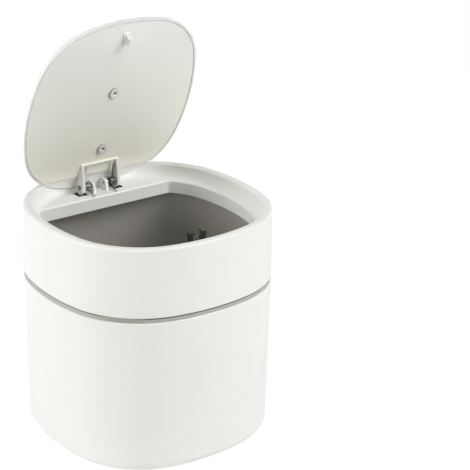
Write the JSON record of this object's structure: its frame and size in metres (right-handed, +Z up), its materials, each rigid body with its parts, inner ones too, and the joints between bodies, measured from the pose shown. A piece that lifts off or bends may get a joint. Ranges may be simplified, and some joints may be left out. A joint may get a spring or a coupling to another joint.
{
  "type": "push-top countertop waste bin",
  "caption": "Square countertop waste bin with softly curved sides, a lift-out inner bucket and a sprung lid opened by a push latch.",
  "frame": {"origin": "centre of the base, on the table", "axes": "+Z up, -Y towards the front where the latch is, +X along the lid hinge to the right as seen from the front"},
  "size_m": [0.16, 0.16, 0.2822],
  "materials": {
    "white_shell": "satin",
    "white_deck": "satin",
    "lid_shell": "satin",
    "lid_liner": "semi-gloss",
    "grey_bucket": "satin",
    "black_latch": "satin",
    "spring_steel": "polished wire",
    "screw_steel": "zinc plated"
  },
  "bodies": {
    "body": {"outer_body": "white_shell"},
    "bucket": {"inner_bucket": "grey_bucket"},
    "collar": {"collar": "white_deck", "latch_pocket": "white_deck", "hinge_pin_left": "spring_steel", "hinge_pin_right": "spring_steel", "hinge_spring_left": "spring_steel", "hinge_spring_right": "spring_steel", "latch_housing": "black_latch", "latch_cap": "black_latch", "latch_spring": "spring_steel", "latch_cam_follower": "spring_steel", "latch_screws": "screw_steel"},
    "lid": {"lid_cover": "lid_shell", "lid_panel": "lid_liner", "striker": "lid_liner", "hinge_spring_leg_left": "spring_steel", "hinge_spring_leg_right": "spring_steel"},
    "slider": {"latch_slider": "black_latch", "latch_jaw_pin_left": "screw_steel", "latch_jaw_pin_right": "screw_steel"},
    "jaw_left": {"latch_jaw_left": "black_latch"},
    "jaw_right": {"latch_jaw_right": "black_latch"}
  },
  "joints": [
    {"name": "collar_lift", "type": "slide", "parent": "body", "child": "collar", "axis": [0, 0, 1], "range_m": [0, 0.16]},
    {"name": "bucket_lift", "type": "slide", "parent": "body", "child": "bucket", "axis": [0, 0, 1], "range_m": [0, 0.08]},
    {"name": "lid_hinge", "type": "hinge", "parent": "collar", "child": "lid", "pos_m": [0, 0.0612, 0.1564], "axis": [1, 0, 0], "range_deg": [0, 70], "stiffness_Nm_per_rad": 0.03, "springref_deg": -34.38},
    {"name": "latch_push", "type": "slide", "parent": "collar", "child": "slider", "axis": [0, 0, -1], "range_m": [0, 0.0028], "stiffness_N_per_m": 250, "springref_m": -0.004, "deforming": ["latch_spring"]},
    {"name": "jaw_left_pivot", "type": "hinge", "parent": "slider", "child": "jaw_left", "pos_m": [-0.0034, -0.0572, 0.15], "axis": [0, 1, 0], "range_deg": [0, 10]},
    {"name": "jaw_right_pivot", "type": "hinge", "parent": "slider", "child": "jaw_right", "pos_m": [0.0034, -0.0572, 0.15], "axis": [0, -1, 0], "range_deg": [0, 10]}
  ],
  "couplings": [
    {"joint": "bucket_lift", "follows": "collar_lift", "ratio": 0.5},
    {"joint": "jaw_left_pivot", "follows": "latch_push", "rad_per_m": 62.3},
    {"joint": "jaw_right_pivot", "follows": "latch_push", "rad_per_m": 62.3}
  ]
}
